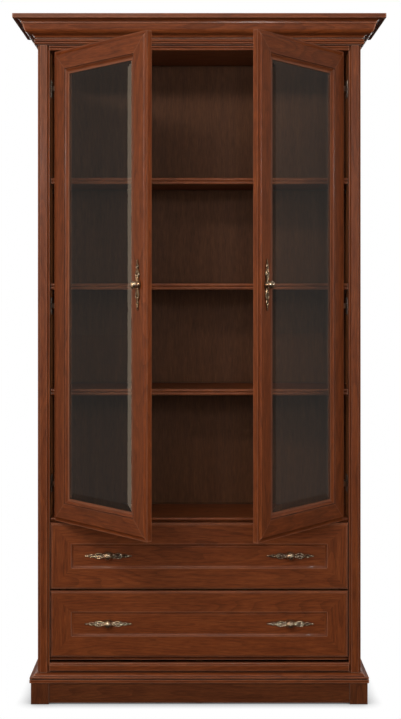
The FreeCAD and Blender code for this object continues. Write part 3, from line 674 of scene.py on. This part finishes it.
def fit_nails():
    """Flat nails round the back panel and along the floor board, their heads all but flush."""
    low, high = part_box("back_panel")
    down_sides, along_boards = 14, 7
    from_edge, from_end = 4.5 * MM, 20 * MM
    nails = []
    for i in range(down_sides):
        z = low.z + from_end + i * (high.z - low.z - 2 * from_end) / (down_sides - 1)
        for x in (low.x + from_edge, high.x - from_edge):
            nails.append(Matrix.Translation((x, CASE_BACK, z)) @ TO_REAR)
    # Rows into the bottom board, the top of the case and the floor board.
    rows = (low.z + 9 * MM, high.z - 8 * MM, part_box("floor_board")[0].z + 9 * MM)
    for i in range(1, along_boards + 1):
        x = low.x + i * (high.x - low.x) / (along_boards + 1)
        nails += [Matrix.Translation((x, CASE_BACK, z)) @ TO_REAR for z in rows]
    bm = bmesh.new()
    bmesh.ops.create_cone(
        bm, cap_ends=True, segments=12, radius1=1.8 * MM, radius2=1.3 * MM, depth=0.6 * MM,
        matrix=Matrix.Translation((0, 0.28 * MM, 0)) @ TO_FRONT)
    finish_piece("back_nails", joined(bm, nails), [zinc_plated_steel], "case", "zinc_plated_steel")


# ---- Studio ----
def seen_directly(tree):
    """1 for what the camera sees, straight or through clear glass, and 0 for light that
    shines on the case or is mirrored in it."""
    path = add(tree, "LightPath").outputs
    through = add(tree, "Math", {"operation": "GREATER_THAN"}, {
        0: path["Is Transmission Ray"], 1: path["Glossy Depth"]})
    return add(tree, "Math", {"operation": "MAXIMUM"}, {
        0: path["Is Camera Ray"], 1: through.outputs[0]}).outputs[0]


def lay_floor():
    """A white floor that throws little light back, so that undersides stay dark, with a painted
    contact shadow round the case.
    """
    bm = bmesh.new()
    bmesh.ops.create_grid(bm, x_segments=1, y_segments=1, size=30.0)
    mesh = bpy.data.meshes.new("floor")
    bm.to_mesh(mesh)
    bm.free()
    material, tree = new_material("pale_floor")
    # Painted contact shadow: what the camera sees of the floor darkens near the case.
    near = add(tree, "AmbientOcclusion", {"samples": 16}, {"Distance": 50 * MM})
    bright = add(tree, "Emission", {}, {"Color": near.outputs["Color"], "Strength": 1.0})
    dull = add(tree, "BsdfDiffuse", {}, {"Color": colour("#2e2a27")})
    # In the panes the floor is as bright as the room, so that no horizon shows there.
    mirror = add(tree, "LightPath").outputs["Is Singular Ray"]
    strength = add(tree, "MapRange", {}, {"Value": mirror, "To Min": 0.0, "To Max": 0.08})
    haze = add(tree, "Emission", {}, {
        "Color": colour("#f6efe6"), "Strength": strength.outputs[0]})
    dull = add(tree, "AddShader", {}, {0: dull.outputs[0], 1: haze.outputs[0]})
    mixed = add(tree, "MixShader", {}, {
        0: seen_directly(tree), 1: dull.outputs[0], 2: bright.outputs[0]})
    add(tree, "OutputMaterial", {}, {"Surface": mixed.outputs[0]})
    mesh.materials.append(material)
    floor = bpy.data.objects.new("floor", mesh)
    bpy.context.scene.collection.objects.link(floor)


def soft_light(name, place, aim, width, height, power, mirrored=True, tint="#ffffff"):
    """A rectangular softbox at place, facing aim. Polished surfaces show it only if mirrored."""
    light = bpy.data.lights.new(name, "AREA")
    light.shape = "RECTANGLE"
    light.size = width
    light.size_y = height
    light.energy = power
    light.color = colour(tint)[:3]
    lamp = bpy.data.objects.new(name, light)
    lamp.location = place
    lamp.rotation_euler = (Vector(aim) - Vector(place)).to_track_quat("-Z", "Y").to_euler()
    lamp.visible_camera = lamp.visible_transmission = False
    lamp.visible_glossy = mirrored
    bpy.context.scene.collection.objects.link(lamp)


def hang_lights():
    """A warm key high in front, broad soft ones beside it, and lamps for the sides and rear."""
    soft_light("key_light", (-1.3, -3.0, 3.1), (0, 0, 1.3), 2.4, 0.3, 42, tint="#ffecd6")
    soft_light("front_light", (-0.4, -2.9, 1.55), (0, 0, 1.2), 2.4, 1.2, 22, mirrored=False)
    soft_light("fill_light", (2.4, -3.0, 1.7), (0, 0, 1.2), 1.2, 1.2, 20, mirrored=False)
    soft_light(
        "side_light", (-3.2, -0.4, 1.3), (-0.2, -0.25, 1.3), 0.8, 3.0, 14, tint="#ffe6c8")
    # Small lamps for the glints on brass and steel.
    for number, (x, z) in enumerate(((-1.2, 2.0), (0.3, 2.1), (1.5, 1.9))):
        soft_light("glint_%d" % number, (x, -3.7, z), (0, 0, 1.0), 0.2, 0.2, 6)
    for side, way in (("left", -1), ("right", 1)):
        soft_light("strip_" + side, (way * 2.3, -2.6, 1.6), (way * 0.2, 0, 1.2), 0.3, 2.4, 4)
        soft_light(
            "side_card_" + side, (way * 3.1, 1.2, 1.4), (way * 0.2, -0.1, 1.4), 1.8, 3.2, 2.0,
            tint="#fff8f0")
        soft_light("rear_light_" + side, (way * 2.4, 3.4, 2.4), (0, 0.2, 1.1), 2.0, 2.0, 60)


def light_room():
    """A white backdrop in a dim room, dimmer still where the panes mirror it."""
    world = bpy.data.worlds.new("studio")
    world.use_nodes = True
    tree = world.node_tree
    tree.nodes.clear()
    mirror = add(tree, "LightPath").outputs["Is Singular Ray"]
    strength = add(tree, "MapRange", {}, {"Value": mirror, "To Min": 0.16, "To Max": 0.09})
    dim = add(tree, "Background", {}, {
        "Color": colour("#f6efe6"), "Strength": strength.outputs[0]})
    pale = add(tree, "Background", {}, {"Color": colour("#ffffff"), "Strength": 1.0})
    mixed = add(tree, "MixShader", {}, {
        0: seen_directly(tree), 1: dim.outputs[0], 2: pale.outputs[0]})
    add(tree, "OutputWorld", {}, {"Surface": mixed.outputs[0]})
    bpy.context.scene.world = world
    bpy.context.scene.view_settings.view_transform = "Standard"


def place_camera():
    """A level camera in front of the middle, at eye height."""
    width, height = 401, 719           # the picture, in pixels
    focal = 1290                       # focal length, in pixels
    axis_x, axis_y = 199.25, 287.0     # the pixel that the camera points at
    sensor = 36.0
    data = bpy.data.cameras.new("camera")
    data.sensor_width = sensor
    data.lens = focal / height * sensor
    data.shift_x = (width / 2 - axis_x) / height
    data.shift_y = -(height / 2 - axis_y) / height
    data.clip_end = 100.0
    camera = bpy.data.objects.new("camera", data)
    camera.location = (0, -3.909, 1.259)
    camera.rotation_euler = (math.radians(90), 0, 0)
    bpy.context.scene.collection.objects.link(camera)
    bpy.context.scene.camera = camera


dress_boards()
dress_back()
dress_doors()
dress_drawers()
dress_fittings()
fit_handles()
fit_screws()
fit_nails()
lay_floor()
hang_lights()
light_room()
place_camera()
